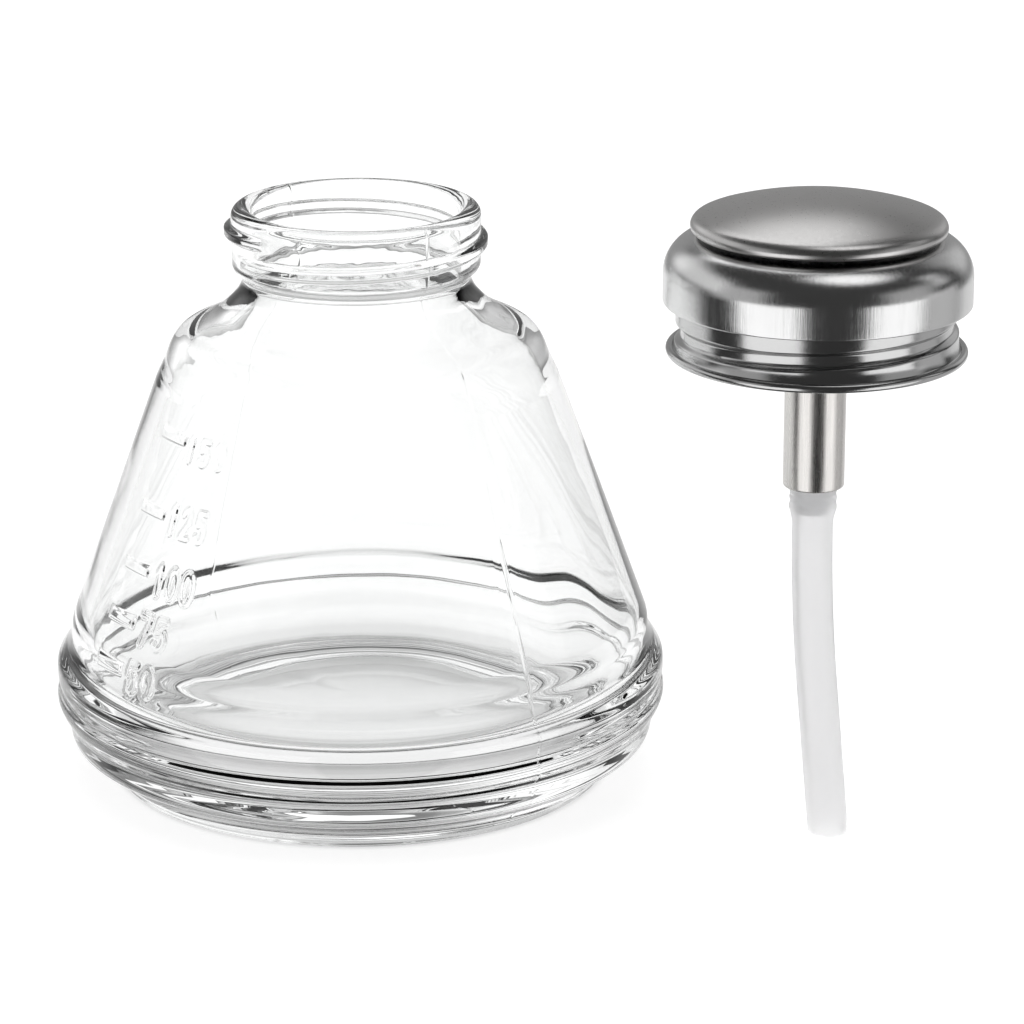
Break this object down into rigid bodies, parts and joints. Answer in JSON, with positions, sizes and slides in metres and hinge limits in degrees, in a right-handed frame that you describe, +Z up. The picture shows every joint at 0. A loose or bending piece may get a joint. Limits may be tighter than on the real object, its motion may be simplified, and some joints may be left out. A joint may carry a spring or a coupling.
{
  "type": "graduated pump dispenser bottle",
  "caption": "Conical glass bottle with embossed volume marks and a screw-on metal push-down pump, shown off the neck beside it.",
  "frame": {"origin": "centre of the bottle's base, on the surface that it stands on", "axes": "+Z up along the bottle's axis, -Y towards the front of the picture, +X towards the pump that stands beside the bottle"},
  "size_m": [0.1236, 0.0906, 0.0879],
  "materials": {
    "clear_glass": "clear moulded glass with faint waves",
    "brushed_steel": "satin stainless steel",
    "cover_steel": "bright stainless steel with fine brush lines",
    "polished_steel": "polished stainless steel",
    "barrel_steel": "bright stainless steel tube",
    "pump_steel": "machined stainless steel",
    "ball_steel": "ground and polished ball",
    "spring_steel": "drawn stainless wire",
    "inner_plastic": "natural white moulded plastic",
    "seal_rubber": "smooth black rubber",
    "tube_plastic": "milky soft translucent tube"
  },
  "bodies": {
    "bottle": {"bottle": "clear_glass"},
    "pump": {"screw_collar": "polished_steel", "collar_gasket": "seal_rubber", "barrel": "barrel_steel", "barrel_washer": "seal_rubber", "lock_nut": "pump_steel", "guide_bush": "inner_plastic", "stem_seal": "seal_rubber", "inlet_valve": "pump_steel", "valve_retainer": "pump_steel", "return_spring": "spring_steel", "dip_tube": "tube_plastic"},
    "head": {"press_disc": "brushed_steel", "disc_plate": "pump_steel", "valve_hub": "pump_steel", "cover": "cover_steel", "head_nut": "pump_steel", "stem": "pump_steel", "piston": "inner_plastic", "piston_seal": "seal_rubber"},
    "outlet_ball": {"outlet_ball": "ball_steel"},
    "inlet_ball": {"inlet_ball": "ball_steel"}
  },
  "joints": [
    {"name": "pump_lift", "type": "slide", "parent": "bottle", "child": "pump", "axis": [0, 0, 1], "range_m": [0, 0.1]},
    {"name": "press", "type": "slide", "parent": "pump", "child": "head", "axis": [0, 0, 1], "range_m": [-0.0034, 0], "stiffness_N_per_m": 1200, "springref_m": 0.0005, "deforming": ["return_spring"]},
    {"name": "outlet_valve", "type": "slide", "parent": "head", "child": "outlet_ball", "axis": [0, 0, 1], "range_m": [0, 0.0006]},
    {"name": "inlet_valve_lift", "type": "slide", "parent": "pump", "child": "inlet_ball", "axis": [0, 0, 1], "range_m": [0, 0.0006]}
  ]
}
